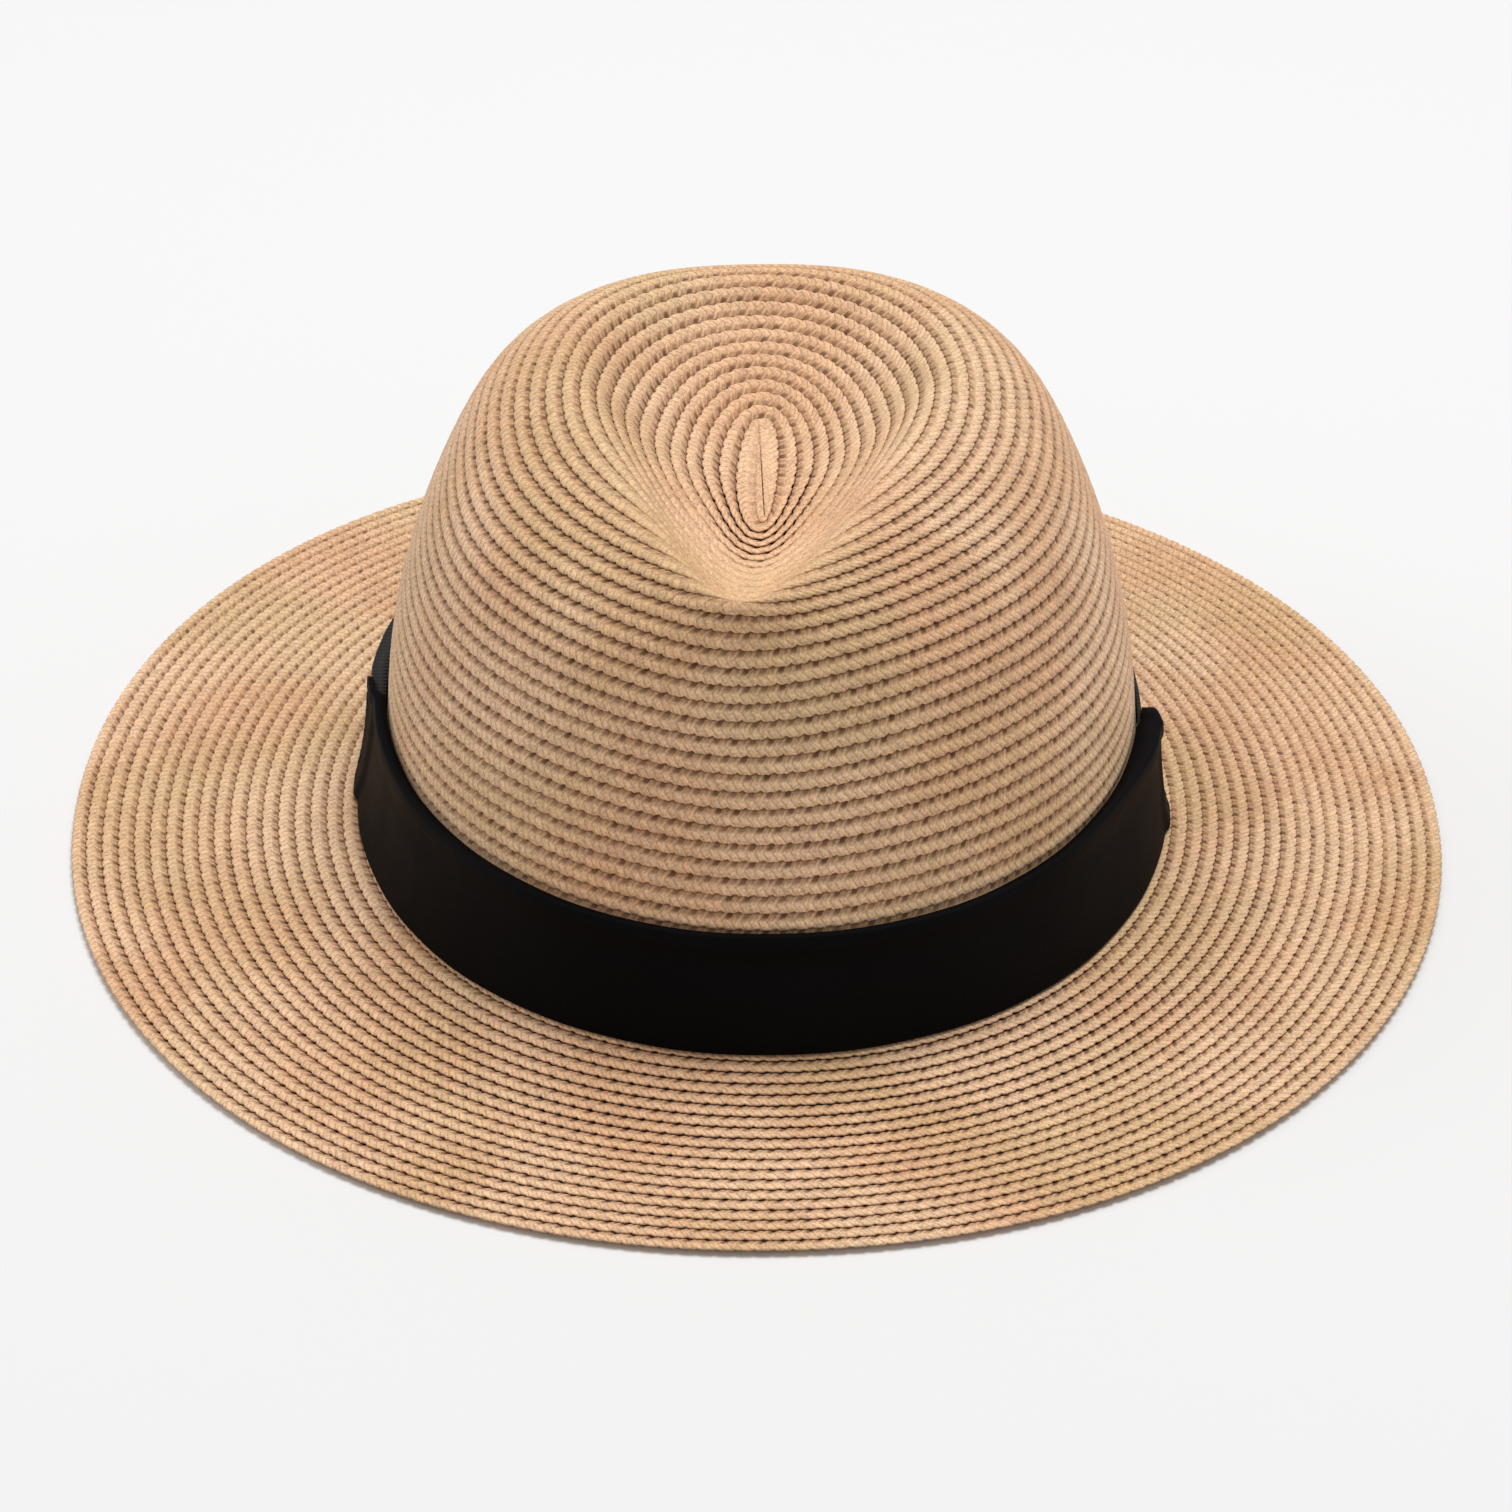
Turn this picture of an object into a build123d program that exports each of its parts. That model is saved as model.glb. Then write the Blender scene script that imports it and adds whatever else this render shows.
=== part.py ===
"""Straw sun hat: a spiral-sewn plait body with a dented crown, a black band and a sweatband.

Millimetres. +Z is up, the front of the hat faces -Y and the wearer's left is +X.
The origin is on the table, under the middle of the brim.
"""

import math
import os

from build123d import *

# Head opening, outside of the straw at the head line (a 57 to 58 cm hat)
HEAD_HALF_WIDTH = 84.0
HEAD_HALF_LENGTH = 102.5
HEAD_LINE_Z = 5.0
CROWN_OFFSET_X = 1.0  # the crown sits a touch to the wearer's left of the brim's middle
STRAW = 2.0  # two overlapping plaits

# Brim
BRIM_HALF_WIDTH = 143.8
BRIM_HALF_LENGTH = 163.0
BRIM_THICKNESS = 1.8
BRIM_BACK_SKEW = 4.65  # how far the back of the brim has been pulled to the wearer's right
EDGE_ROW = 3.3  # width of the last plait row, which touches the table
BRIM_RISE_EVEN = 0.25  # part of the brim's rise that is a plain slope, the rest turns up to the crown
CURVE = 2.06  # Lame exponent of the ovals, 2 is an ellipse

# Crown: how its wall draws in, where it is cut for the tip, and the folded start of the plait
WALL_SLOPE = 0.044  # in front and behind
WALL_BEND = 0.003  # per millimetre of height
SIDE_FLARE = 7.2  # the sides spread out by this much where they meet the brim
FLARE_HEIGHT = 12.0
BACK_SQUARENESS = 0.35  # added to the ovals' exponent behind the middle, near the crest
TIP_SEAM_Z = 76.0  # just below the lowest point of the dent
BUTTON_HALF_WIDTH = 4.2
BUTTON_HALF_LENGTH = 19.0
BUTTON_Y = -12.0
BUTTON_TRIM = 0.3  # how far the cut for the button lies inside its outline
LEAN_RATE = 0.0128  # sideways lean of the dent's point
LEAN_POWER = 1.4
LEAN_START_Y = 10.0
DENT_SHIFT_X = 1.8

# Sweatband
SWEATBAND_TOP_Z = 36.0
SWEATBAND_THICKNESS = 1.2
SWEATBAND_GAP = 0.25  # between the sweatband and the straw
SEWING_HEIGHT = 2.4  # stitch line above the head line
SEWING_WIDTH = 0.8
THREAD = 0.45
TAPE_THICKNESS = 0.5
TAPE_HALF_WIDTH = 6.0
LABEL_THICKNESS = 0.3
TAPE_SPAN_Z = (9.0, 34.0)
SIZE_LABEL_SPAN_X = (-24.0, -8.0)
SIZE_LABEL_SPAN_Z = (9.5, 24.5)
CARE_LABEL_SPAN_X = (9.0, 34.0)
CARE_LABEL_SPAN_Z = (9.5, 33.0)

# Hat band
BAND_LOW_Z = 5.5
RIBBON_HEIGHT = 25.5
RIBBON_THICKNESS = 0.9
ELASTIC_HEIGHT = 22.0
ELASTIC_RISE = 1.0  # its lower edge above the ribbon's
ELASTIC_THICKNESS = 0.8
BAND_GAP = 0.4  # between the band and the straw
HEM_HEIGHT = 3.4
HEM_THICKNESS = 0.5
LAP_END_Y = {-1: 10.0, 1: -9.0}  # where the ribbon ends on the wearer's right and left
LAP = 11.0  # length of ribbon stepped out over the elastic
PLY_GAP = 0.15
TACK_GAP = 0.02
TACK_WIDTH = 0.8
TACK_INSET = 3.5  # from the end of the ribbon
TACK_MARGIN_LOW = 3.0
TACK_MARGIN_HIGH = 5.0

POINTS = 48  # points round each oval
WALL_LEVELS = (HEAD_LINE_Z, 12.0, 19.0, 26.0, 34.0)

# Crown rings from the head line up over the crest and down into the dent:
# half width, front reach, back reach, centre y, heights at the side, front and back,
# how pointed the front is, and the share of the thickness taken sideways.
CROWN_RINGS = [
    (75.0, 95.4, 93.5, 0, 51.0, 49.5, 51.0, 0.0, 0.96),
    (70.4, 92.0, 86.5, 0, 67.0, 62.5, 67.0, 0.0, 0.94),
    (64.6, 88.9, 78.0, 0, 81.0, 74.5, 81.0, 0.0, 0.89),
    (57.6, 86.4, 68.0, 0, 93.0, 84.5, 92.5, 0.12, 0.74),
    (49.0, 84.9, 58.0, 0, 100.5, 91.2, 99.5, 0.3, 0.5),
    (39.0, 83.0, 48.0, 0, 103.8, 94.5, 102.5, 0.5, 0.0),
    (30.0, 73.5, 40.5, -2, 98.9, 89.9, 98.9, 0.5, -0.45),
    (19.0, 54.0, 31.5, -6, 91.9, 85.6, 94.4, 0.35, -0.4),
    (9.6, 31.0, 24.0, -11, 87.9, 83.9, 90.6, 0.12, -0.2),
    (4.2, 19.0, 19.0, -12, 86.0, 83.2, 88.8, 0.0, 0.0),
]


def insets(z):
    """How far the lower wall has drawn in at height z: at the sides, and in front and behind."""
    rise = z - HEAD_LINE_Z
    side = SIDE_FLARE * (1 - math.exp(-rise / FLARE_HEIGHT))
    return side, WALL_SLOPE * rise + WALL_BEND * rise * rise


def lame(angle, power=CURVE):
    """Unit oval between an ellipse and a rectangle."""
    c, s = math.cos(angle), math.sin(angle)
    r = (abs(c) ** power + abs(s) ** power) ** (-1 / power)
    return c * r, s * r


def angles():
    return [2 * math.pi * (i + 0.5) / POINTS for i in range(POINTS)]


def closed_wire(points):
    return Wire([Spline(*points, periodic=True)])


def wall_wire(z, depth):
    """Level oval of the lower crown wall, depth inside the straw's outer face."""
    side, front = insets(z)
    a = HEAD_HALF_WIDTH - side - depth
    b = HEAD_HALF_LENGTH - front - depth
    points = []
    for angle in angles():
        u, v = lame(angle)
        points.append((CROWN_OFFSET_X + a * u, b * v, z))
    return closed_wire(points)


def dent_shift(y):
    return DENT_SHIFT_X - LEAN_RATE * max(0.0, LEAN_START_Y - y) ** LEAN_POWER


def crown_wire(index, depth):
    """Ring of the upper crown, depth under its outer face."""
    a, front, back, middle, z_side, z_front, z_back, point, share = CROWN_RINGS[index]
    drop = math.sqrt(1 - share * share)
    blend = min(1.0, max(0.0, index / 5))
    points = []
    for angle in angles():
        u, v = lame(angle, CURVE + (BACK_SQUARENESS * blend if angle < math.pi else 0))
        reach, level, sharp = (back, z_back, 0) if v > 0 else (front, z_front, point)
        wide = (1 - sharp) * abs(u) + sharp * (1 - abs(v))
        x = math.copysign((a - depth * share) * wide, u)
        y = middle + (reach - depth * share) * v
        z = z_side + (level - z_side) * math.sin(angle) ** 2 - depth * drop
        if index == len(CROWN_RINGS) - 1:
            z = z_side + (z_back - z_side) * v - depth
        shift = (1 - blend) * CROWN_OFFSET_X + blend * dent_shift(y)
        points.append((x + shift, y, z))
    return closed_wire(points)


def crown_solid(depth):
    """Solid crown, filled, whose skin is depth inside the straw's outer face."""
    wires = [wall_wire(z, depth) for z in WALL_LEVELS]
    wires += [crown_wire(i, depth) for i in range(len(CROWN_RINGS))]
    return Solid.make_loft(wires)


def wall_solid(low, high, depth):
    levels = [low + (high - low) * i / 3 for i in range(4)]
    return Solid.make_loft([wall_wire(z, depth) for z in levels])


def wall_shell(low, high, outer, inner):
    """Strip that follows the crown wall between two depths."""
    return wall_solid(low, high, outer) - wall_solid(low - 0.001, high + 0.001, inner)


def block(x0, x1, y0, y1, z0, z1):
    size = Box(x1 - x0, y1 - y0, z1 - z0)
    return Pos((x0 + x1) / 2, (y0 + y1) / 2, (z0 + z1) / 2) * size


def oval_wire(a, b, z, centre_x=0.0, centre_y=0.0, skew=0.0):
    """Level oval whose back half may be pulled sideways."""
    points = []
    for angle in angles():
        u, v = lame(angle)
        x = centre_x + a * u - skew * max(0.0, v) ** 2
        points.append((x, centre_y + b * v, z))
    return closed_wire(points)


def brim_wire(run, z):
    """Oval of the brim, run inside its edge: the back skew fades towards the head."""
    reach = BRIM_HALF_LENGTH - HEAD_HALF_LENGTH
    skew = BRIM_BACK_SKEW * max(0.0, 1 - run / reach)
    shift = CROWN_OFFSET_X * min(1.0, run / reach)
    a = BRIM_HALF_WIDTH - run * (BRIM_HALF_WIDTH - HEAD_HALF_WIDTH) / reach
    return oval_wire(a, BRIM_HALF_LENGTH - run, z, shift, 0.0, skew)


def brim_height(run):
    """Top of the brim, flat by the edge and turning up to the crown."""
    reach = BRIM_HALF_LENGTH - HEAD_HALF_LENGTH
    share = run / reach
    rise = HEAD_LINE_Z - BRIM_THICKNESS
    return BRIM_THICKNESS + rise * (BRIM_RISE_EVEN * share + (1 - BRIM_RISE_EVEN) * share**3)


def make_brim():
    reach = BRIM_HALF_LENGTH - HEAD_HALF_LENGTH
    runs = [0, reach * 0.25, reach * 0.5, reach * 0.75, reach]
    rim = Solid.extrude(Face(brim_wire(0, 0)), Vector(0, 0, BRIM_THICKNESS))
    top = Solid.make_loft([brim_wire(run, brim_height(run)) for run in runs])
    hollow_wires = [brim_wire(EDGE_ROW, 0)]
    hollow_wires += [brim_wire(run, brim_height(run) - BRIM_THICKNESS) for run in runs[1:]]
    hollow = Solid.make_loft(hollow_wires)
    opening_face = Face(wall_wire(HEAD_LINE_Z, STRAW)).moved(Pos(0, 0, -20))
    opening = Solid.extrude(opening_face, Vector(0, 0, 40))
    return rim + top - (hollow + opening)


def make_crown():
    """The plait from the head line up: button, dented tip and side wall."""
    shell = crown_solid(0) - crown_solid(STRAW)
    prism_wire = oval_wire(
        BUTTON_HALF_WIDTH - BUTTON_TRIM,
        BUTTON_HALF_LENGTH - BUTTON_TRIM,
        60,
        dent_shift(BUTTON_Y),
        BUTTON_Y,
    )
    prism = Solid.extrude(Face(prism_wire), Vector(0, 0, 60))
    above = block(-120, 120, -140, 140, TIP_SEAM_Z, 140)
    side = shell - above
    tip = (shell & above) - prism
    button = shell & prism
    return side, tip, button


def sweatband_fill(depth):
    """Filled body whose skin is depth inside the sweatband's outer face."""
    return wall_solid(HEAD_LINE_Z, SWEATBAND_TOP_Z, STRAW + SWEATBAND_GAP + depth)


def inner_strip(thickness, box):
    """Flat piece lying on the sweatband's inner face, cut out by a box."""
    depth = SWEATBAND_THICKNESS
    return (sweatband_fill(depth) - sweatband_fill(depth + thickness)) & box


def sides(y_from, y_to):
    """Two boxes, right and left of the middle, between depths that may differ with the side."""
    right = block(-150, 0, y_from[-1], y_to[-1], 0, 60)
    return right + block(0, 150, y_from[1], y_to[1], 0, 60)


def make_band():
    """Front ribbon with its hem and laps, the elastic behind, and the tacks on the laps."""
    low, high = BAND_LOW_Z, BAND_LOW_Z + RIBBON_HEIGHT
    inner = -BAND_GAP
    outer = inner - RIBBON_THICKNESS
    lap_in = inner - ELASTIC_THICKNESS - PLY_GAP
    lap_out = lap_in - RIBBON_THICKNESS
    front_y = {-1: -150, 1: -150}
    back_y = {-1: 150, 1: 150}
    lap_start = {side: y - LAP for side, y in LAP_END_Y.items()}
    step_end = {side: y + RIBBON_THICKNESS for side, y in lap_start.items()}
    elastic_start = {side: y + PLY_GAP for side, y in step_end.items()}

    ribbon = wall_shell(low, high, outer, inner) & sides(front_y, step_end)
    hem = wall_shell(high - HEM_HEIGHT, high, outer - HEM_THICKNESS, outer)
    ribbon += hem & sides(front_y, step_end)
    ribbon += wall_shell(low, high, lap_out, inner) & sides(lap_start, step_end)
    ribbon += wall_shell(low, high, lap_out, lap_in) & sides(lap_start, LAP_END_Y)

    elastic_low = low + ELASTIC_RISE
    elastic = wall_shell(
        elastic_low, elastic_low + ELASTIC_HEIGHT, inner - ELASTIC_THICKNESS, inner
    )
    elastic = elastic & sides(elastic_start, back_y)

    tacks = []
    for side in (-1, 1):
        tack_low, tack_high = low + TACK_MARGIN_LOW, high - TACK_MARGIN_HIGH
        rail = wall_shell(tack_low, tack_high, lap_out - THREAD - TACK_GAP, lap_out - TACK_GAP)
        y = LAP_END_Y[side] - TACK_INSET
        x0, x1 = sorted((side * 40, side * 150))
        tacks.append(rail & block(x0, x1, y, y + TACK_WIDTH, 0, 60))
    return ribbon, elastic, tacks


def one_solid(name, shape):
    """Stops the build if a piece has come apart, so that nothing is left out unseen."""
    solids = shape.solids()
    if len(solids) != 1:
        raise ValueError(f"{name} has {len(solids)} solids: {[round(s.volume, 2) for s in solids]}")
    return solids[0]


crown_side, crown_tip, button = make_crown()
sweatband = sweatband_fill(0) - sweatband_fill(SWEATBAND_THICKNESS)
ribbon, elastic, tacks = make_band()

sew_low = HEAD_LINE_Z + SEWING_HEIGHT
stitch_line = block(-150, 150, -150, 150, sew_low, sew_low + SEWING_WIDTH)
tape_box = block(-TAPE_HALF_WIDTH, TAPE_HALF_WIDTH, 0, 150, *TAPE_SPAN_Z)
size_box = block(*SIZE_LABEL_SPAN_X, 0, 150, *SIZE_LABEL_SPAN_Z)
care_box = block(*CARE_LABEL_SPAN_X, 0, 150, *CARE_LABEL_SPAN_Z)

nodes = {
    "crown_tip_button": button,
    "crown_tip": crown_tip,
    "crown_side": crown_side,
    "brim": make_brim(),
    "sweatband": sweatband,
    "sweatband_sewing_thread": inner_strip(THREAD, stitch_line),
    "sweatband_join_tape": inner_strip(TAPE_THICKNESS, tape_box),
    "size_label": inner_strip(LABEL_THICKNESS, size_box),
    "care_label": inner_strip(LABEL_THICKNESS, care_box),
    "band_front_ribbon": ribbon,
    "band_back_elastic": elastic,
    "band_tack_right": tacks[0],
    "band_tack_left": tacks[1],
}

os.makedirs("parts", exist_ok=True)
for name, shape in nodes.items():
    solid = one_solid(name, shape)
    export_step(solid, f"parts/{name}.step")
    print(name, round(solid.volume), "mm3")
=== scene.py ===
# %% [markdown]
# # A straw sun hat
# A hat like this is one long straw plait, about thirty metres of it, sewn to itself in a spiral
# from the middle of the crown to the edge of the brim. This lesson builds that plait as it is
# really laid, then the black band round the crown and the sweatband inside. Everything is in
# metres, in the frame of the CAD model.

# %% Load the frame
import math

import bmesh
import bpy
import numpy as np
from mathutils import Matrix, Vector


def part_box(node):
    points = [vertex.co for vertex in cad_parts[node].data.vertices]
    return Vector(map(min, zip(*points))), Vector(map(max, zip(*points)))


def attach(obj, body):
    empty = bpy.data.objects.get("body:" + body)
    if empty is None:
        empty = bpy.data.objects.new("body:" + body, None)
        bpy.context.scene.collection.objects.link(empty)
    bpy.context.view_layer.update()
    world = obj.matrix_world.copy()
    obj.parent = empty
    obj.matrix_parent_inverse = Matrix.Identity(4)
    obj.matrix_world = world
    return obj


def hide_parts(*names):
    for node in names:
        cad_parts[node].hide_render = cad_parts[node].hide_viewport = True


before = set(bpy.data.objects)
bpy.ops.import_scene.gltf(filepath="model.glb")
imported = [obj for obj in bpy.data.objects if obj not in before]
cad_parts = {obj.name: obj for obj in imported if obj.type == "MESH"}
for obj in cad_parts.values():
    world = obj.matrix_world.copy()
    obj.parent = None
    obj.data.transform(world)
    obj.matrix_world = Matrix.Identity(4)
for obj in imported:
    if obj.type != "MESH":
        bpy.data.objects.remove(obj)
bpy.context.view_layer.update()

MM = 0.001

# %% [markdown]
# ## Sizes
# The brim and the crown wall are CAD nodes already, so their boxes say how wide the hat is, where
# the head line lies, and how far the crown stands off the brim's middle. Only what a box can't
# say is written here: the spacing of the plait and the way the dent is pressed.

# %% Read the sizes from the frame
brim_low, brim_high = (Vector(corner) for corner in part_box("brim"))
wall_low, wall_high = (Vector(corner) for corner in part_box("crown_side"))

HEAD_LINE_Z = wall_low.z
HEAD_HALF_WIDTH = (wall_high.x - wall_low.x) / 2
HEAD_HALF_LENGTH = (wall_high.y - wall_low.y) / 2
CROWN_OFFSET_X = (wall_high.x + wall_low.x) / 2
BRIM_HALF_WIDTH = (brim_high.x - brim_low.x) / 2
BRIM_HALF_LENGTH = (brim_high.y - brim_low.y) / 2
BRIM_REACH = BRIM_HALF_LENGTH - HEAD_HALF_LENGTH
BRIM_THICKNESS = 1.8 * MM
BRIM_BACK_SKEW = 4.65 * MM  # the back of the brim leans this far to one side
BRIM_RISE_EVEN = 0.25  # part of the brim's rise that is an even slope; the rest is near the crown
CURVE = 2.06  # power of the ovals: 2 would be a plain ellipse

CROWN_ROWS = 42
BRIM_ROWS = 18
TIP_ROWS = 24  # rows that lie on the tip, above the wall
ROWS = CROWN_ROWS + BRIM_ROWS
print("brim", round(BRIM_REACH * 1000, 1), "mm wide,", ROWS, "rows")

# %% [markdown]
# ## The surface the plait follows
# A hat maker presses the crown over a block. The same shape is described here by ovals, one above
# another: up the wall, over the crest and down into the dent. A smooth curve through them at
# every angle gives the block's surface. It could also be read off the CAD mesh, but a formula has
# no facets to shade.

# %% Describe the block
ANGLE_STEPS = 720
# From the back of the hat, round by its right side
ANGLES = np.linspace(0, 2 * math.pi, ANGLE_STEPS + 1)

# Half width, front reach, back reach, centre y, heights at the side, front and back, and how pointed
# the front is: millimetres, from the wall up over the crest and down to the plait's folded start.
BLOCK_RINGS = (
    (75.0, 95.4, 93.5, 0, 51.0, 49.5, 51.0, 0.0),
    (70.4, 92.0, 86.5, 0, 67.0, 62.5, 67.0, 0.0),
    (64.6, 88.9, 78.0, 0, 81.0, 74.5, 81.0, 0.0),
    (57.6, 86.4, 68.0, 0, 93.0, 84.5, 92.5, 0.12),
    (49.0, 84.9, 58.0, 0, 100.5, 91.2, 99.5, 0.3),
    (39.0, 83.0, 48.0, 0, 103.8, 94.5, 102.5, 0.5),
    (30.0, 73.5, 40.5, -2, 98.9, 89.9, 98.9, 0.5),
    (19.0, 54.0, 31.5, -6, 91.9, 85.6, 94.4, 0.35),
    (9.6, 31.0, 24.0, -11, 87.9, 83.9, 90.6, 0.12),
    (4.2, 19.0, 19.0, -12, 86.0, 83.2, 88.8, 0.0),
)
WALL_LEVELS = (5.0, 12.0, 19.0, 26.0, 34.0)
DENT_LEAN = (1.8, 0.0128, 1.4, 10.0)  # shift, rate, power and the y where the lean begins
DENT_FROM = 5  # the ring by which the wall's plain oval has turned into the dent's own
BACK_SQUARENESS = 0.35  # added to the oval's power behind the dent


def oval(power):
    """Unit oval round the hat: x, y and the sine for each angle."""
    turned = ANGLES + math.pi / 2
    c, s = np.cos(turned), np.sin(turned)
    reach = (np.abs(c) ** power + np.abs(s) ** power) ** (-1 / power)
    return c * reach, s * reach, s


WALL_SLOPE, WALL_BEND = 0.044, 0.003 / MM  # how the wall draws in, in front and behind
SIDE_FLARE, FLARE_HEIGHT = 7.2 * MM, 12.0 * MM  # and how the sides spread where they meet the brim


def on_wall(angle, level, depth):
    """Place on the lower crown wall, at a depth inside the straw's outer face.

    Angles run from the wearer's left.
    """
    rise = level - HEAD_LINE_Z
    front = WALL_SLOPE * rise + WALL_BEND * rise**2
    side = SIDE_FLARE * (1 - np.exp(-rise / FLARE_HEIGHT))
    c, s = np.cos(angle), np.sin(angle)
    reach = (np.abs(c) ** CURVE + np.abs(s) ** CURVE) ** (-1 / CURVE)
    x = CROWN_OFFSET_X + (HEAD_HALF_WIDTH - side - depth) * c * reach
    y = (HEAD_HALF_LENGTH - front - depth) * s * reach
    return np.stack([x, y, np.broadcast_to(level, x.shape)], -1)


def block_ring(index):
    """One oval of the block, leaning over as the dent does."""
    a, front, back, middle, z_side, z_front, z_back, point = BLOCK_RINGS[index]
    blend = min(1.0, index / DENT_FROM)
    at_back = np.sin(ANGLES + math.pi / 2) > 0
    u, v, s = oval(np.where(at_back, CURVE + BACK_SQUARENESS * blend, CURVE))
    behind = v > 0
    sharp = np.where(behind, 0, point)
    x = np.sign(u) * a * ((1 - sharp) * np.abs(u) + sharp * (1 - np.abs(v)))
    y = middle + np.where(behind, back, front) * v
    z = z_side + (np.where(behind, z_back, z_front) - z_side) * s**2
    if index == len(BLOCK_RINGS) - 1:
        z = z_side + (z_back - z_side) * v
    shift, rate, power, start = DENT_LEAN
    lean = shift - rate * np.clip(start - y, 0, None) ** power
    x = x + (1 - blend) * CROWN_OFFSET_X / MM + blend * lean
    return np.stack([x, y, z], -1) * MM


def brim_ring(run):
    """The oval on the brim that lies this far in from its edge."""
    share = run / BRIM_REACH
    u, v, _ = oval(CURVE)
    a = BRIM_HALF_WIDTH - share * (BRIM_HALF_WIDTH - HEAD_HALF_WIDTH)
    x = a * u + share * CROWN_OFFSET_X - BRIM_BACK_SKEW * (1 - share) * np.clip(v, 0, None) ** 2
    rise = HEAD_LINE_Z - BRIM_THICKNESS
    height = BRIM_THICKNESS + rise * (BRIM_RISE_EVEN * share + (1 - BRIM_RISE_EVEN) * share**3)
    return np.stack([x, (BRIM_HALF_LENGTH - run) * v, np.full_like(x, height)], -1)


# %% [markdown]
# A natural cubic spline is the smooth curve through a few points that bends least, which is what
# felted or plaited stock does over a block. Each meridian is then divided into equal rows,
# because the maker keeps the same number of turns all the way round and lets the spacing take up
# the difference.

# %% Turn the rings into rows
PER_ROW = 12  # stations stored for each row
PRESSED_SPAN = (0.05, 0.33)  # of the way from the dent's middle to the brim, where rows are pressed
PRESSED_ROUND = 0.42  # and how far round from the front, of half a turn


def pulse_between(value, low, high):
    """1 between two values, with soft ends."""
    soft = (high - low) / 5
    return np.clip((value - low) / soft, 0, 1) * np.clip((high - value) / soft, 0, 1)


def near_front(turned):
    """Where the front of the dent has been pinched and steamed flat."""
    return np.exp(-(((turned / math.pi - 1) / PRESSED_ROUND) ** 4))


def smooth_through(rings, count):
    """Natural cubic spline through the rings, at count places evenly spread along it."""
    rings = np.stack(rings)
    steps = np.linalg.norm(np.diff(rings, axis=0), axis=-1).mean(1)
    knots = np.concatenate([[0], np.cumsum(steps)])
    n = len(knots)
    matrix = np.eye(n)
    right = np.zeros_like(rings)
    for i in range(1, n - 1):
        before, after = steps[i - 1], steps[i]
        matrix[i, i - 1 : i + 2] = before, 2 * (before + after), after
        slope = (rings[i + 1] - rings[i]) / after - (rings[i] - rings[i - 1]) / before
        right[i] = 6 * slope
    bend = np.linalg.solve(matrix, right.reshape(n, -1)).reshape(rings.shape)
    places = np.linspace(0, knots[-1], count)
    k = np.clip(np.searchsorted(knots, places) - 1, 0, n - 2)
    gap = steps[k][:, None, None]
    t = (places - knots[k])[:, None, None]
    a, b = rings[k], rings[k + 1]
    first = (b - a) / gap - gap * (2 * bend[k] + bend[k + 1]) / 6
    return a + first * t + bend[k] / 2 * t**2 + (bend[k + 1] - bend[k]) / (6 * gap) * t**3


def in_rows(surface, rows):
    """Stations at equal lengths along every meridian, with what is stored beside each place."""
    steps = np.linalg.norm(np.diff(surface[..., :3], axis=0), axis=-1)
    length = np.concatenate([np.zeros((1, steps.shape[1])), np.cumsum(steps, 0)])
    out = np.empty((rows * PER_ROW + 1, *surface.shape[1:]))
    for j in range(surface.shape[1]):
        wanted = np.linspace(0, length[-1, j], rows * PER_ROW + 1)
        for axis in range(surface.shape[2]):
            out[:, j, axis] = np.interp(wanted, length[:, j], surface[:, j, axis])
    return out, length[-1]


crown_rings = [on_wall(ANGLES + math.pi / 2, level * MM, 0) for level in WALL_LEVELS]
crown_rings += [block_ring(i) for i in range(len(BLOCK_RINGS))]
crown = smooth_through(crown_rings[::-1], 600)
height_share = np.linspace(0, 1, len(crown))
crease = pulse_between(height_share, *PRESSED_SPAN)[:, None] * near_front(ANGLES)[None, :]
crown_rows, crown_length = in_rows(np.concatenate([crown, crease[..., None]], -1), CROWN_ROWS)
brim_rings = [brim_ring(BRIM_REACH * (1 - share)) for share in np.linspace(0, 1, 9)]
brim = smooth_through(brim_rings, 200)
brim_rows, brim_length = in_rows(np.pad(brim, ((0, 0), (0, 0), (0, 1))), BRIM_ROWS)
QUARTERS = [0, 180, 360, 540]  # steps at the back, side, front and side
print("crown row", np.round(crown_length / CROWN_ROWS / MM, 2)[QUARTERS], "mm")
print("brim row", np.round(brim_length / BRIM_ROWS / MM, 2)[QUARTERS], "mm")

# %% [markdown]
# The very first length of plait is folded back beside itself, so inside the last ring the rows
# close on a short straight line instead of a point. One extra row of stations takes the spiral
# down to that line.

# %% Close the rows on the folded start
start_ring = crown_rows[0]
middle = start_ring.mean(0)
line = start_ring.copy()
line[:, 3] = 0
half_width = np.ptp(start_ring[:, 0]) / 2
along = np.clip((start_ring[:, 1] - middle[1]) / (np.ptp(start_ring[:, 1]) / 2), -1, 1)
line[:, 0] = middle[0] + (start_ring[:, 0] - middle[0]) * 0.02
line[:, 1] = middle[1] + along * (np.ptp(start_ring[:, 1]) / 2 - half_width)
fold = [start_ring + (line - start_ring) * share for share in np.linspace(1, 0, PER_ROW + 1)]
table = np.concatenate([np.stack(fold)[:-1], crown_rows[:-1], brim_rows])


def soften(rows, at, reach, passes):
    """Rounds the corner between crown and brim, where a plait can't turn on a line."""
    for _ in range(passes):
        low, high = at - reach, at + reach
        middle_rows = rows[low:high]
        rows[low:high] = (rows[low - 1 : high - 1] + 2 * middle_rows + rows[low + 1 : high + 1]) / 4
    return rows


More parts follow.
